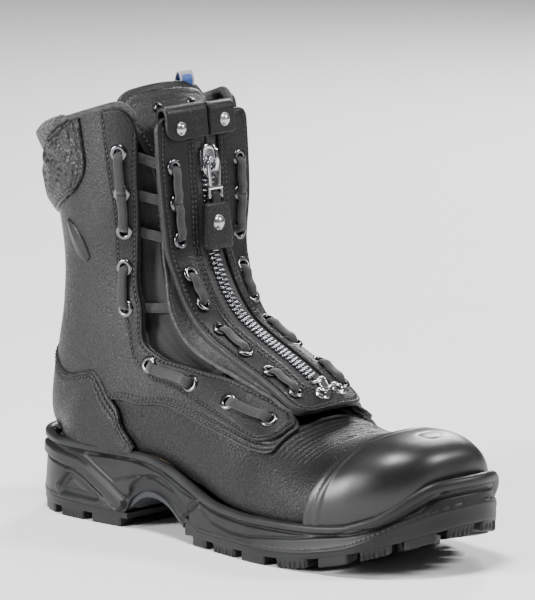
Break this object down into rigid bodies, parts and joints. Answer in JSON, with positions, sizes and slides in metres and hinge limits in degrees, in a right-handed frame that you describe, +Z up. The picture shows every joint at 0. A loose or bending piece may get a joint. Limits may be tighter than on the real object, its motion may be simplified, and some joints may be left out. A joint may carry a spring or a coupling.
{
  "type": "fire boot",
  "caption": "Ankle-high black leather firefighter boot for the right foot, with a lace-in front zip, reinforced toe, padded collar and lugged rubber sole.",
  "frame": {"origin": "on the floor under the middle of the boot's box", "axes": "+Z up, toe towards -Y, outer (little-toe) side towards -X"},
  "size_m": [0.1172, 0.3152, 0.2544],
  "materials": {
    "outsole_rubber": "matt moulded rubber",
    "midsole_foam": "fine-grained moulded polyurethane",
    "board": "pressed fibre board",
    "woven_plate": "stitched woven plate",
    "footbed_foam": "felt over foam",
    "cap_steel": "pressed steel",
    "lining_mesh": "honeycomb mesh",
    "upper_leather": "smooth fine-grained, semi-gloss",
    "cap_rubber": "smooth satin coating",
    "soft_leather": "pebbled soft leather",
    "webbing": "dense woven tape",
    "lace_cord": "braided round cord",
    "reflective": "silver reflective tape",
    "clip_plastic": "satin moulded plastic",
    "eyelet_metal": "gunmetal, bright at the rim",
    "zip_metal": "dark nickel",
    "bright_metal": "polished",
    "label_cloth": "woven satin"
  },
  "bodies": {
    "boot": {"heel_tread": "outsole_rubber", "forefoot_tread": "outsole_rubber", "stabiliser": "midsole_foam", "midsole": "midsole_foam", "toe_bumper": "outsole_rubber", "insole_board": "board", "puncture_plate": "woven_plate", "footbed": "footbed_foam", "safety_toe_cap": "cap_steel", "heel_stiffener": "board", "lining_lateral": "lining_mesh", "lining_medial": "lining_mesh", "vamp": "upper_leather", "toe_overcap": "cap_rubber", "heel_counter": "upper_leather", "quarter_lateral": "upper_leather", "quarter_medial": "upper_leather", "eyestay_lateral": "upper_leather", "eyestay_medial": "upper_leather", "collar_pad_lateral": "soft_leather", "collar_pad_medial": "soft_leather", "collar_binding": "webbing", "back_strap": "upper_leather", "pull_loop": "webbing", "reflective_strip": "reflective", "strip_clip": "clip_plastic", "side_badge_lateral": "clip_plastic", "side_badge_medial": "clip_plastic", "tongue": "soft_leather", "tongue_cover": "upper_leather", "gusset_lateral": "lining_mesh", "gusset_medial": "lining_mesh", "tongue_eyelets": "eyelet_metal", "label_loop": "label_cloth", "zip_wing": "upper_leather", "zip_facing_lateral": "upper_leather", "zip_facing_medial": "upper_leather", "zip_tape_lateral": "webbing", "zip_tape_medial": "webbing", "zip_teeth_lateral": "zip_metal", "zip_teeth_medial": "zip_metal", "zip_end_stops": "zip_metal", "quarter_eyelets_lateral": "eyelet_metal", "quarter_eyelets_medial": "eyelet_metal", "facing_eyelets_lateral": "eyelet_metal", "facing_eyelets_medial": "eyelet_metal", "lace_lateral": "lace_cord", "lace_medial": "lace_cord", "lace_crimps": "eyelet_metal", "lock_tab_lateral": "soft_leather", "lock_tab_medial": "soft_leather", "lock_studs": "bright_metal"},
    "slider": {"zip_slider": "bright_metal"},
    "puller": {"zip_puller": "bright_metal"},
    "tab": {"pull_tab": "soft_leather", "pull_tab_stud": "bright_metal"}
  },
  "joints": [
    {"name": "zip_slide", "type": "slide", "parent": "boot", "child": "slider", "axis": [0, -0.0768, -0.997], "range_m": [0, 0.03]},
    {"name": "puller_swing", "type": "hinge", "parent": "slider", "child": "puller", "pos_m": [0, 0.03655, 0.21096], "axis": [-1, 0, 0], "range_deg": [0, 120]},
    {"name": "tab_swing", "type": "hinge", "parent": "puller", "child": "tab", "pos_m": [0, 0.03494, 0.19002], "axis": [-1, 0, 0], "range_deg": [0, 30]}
  ],
  "couplings": [
    {"joint": "tab_swing", "follows": "zip_slide", "rad_per_m": 17.4}
  ]
}
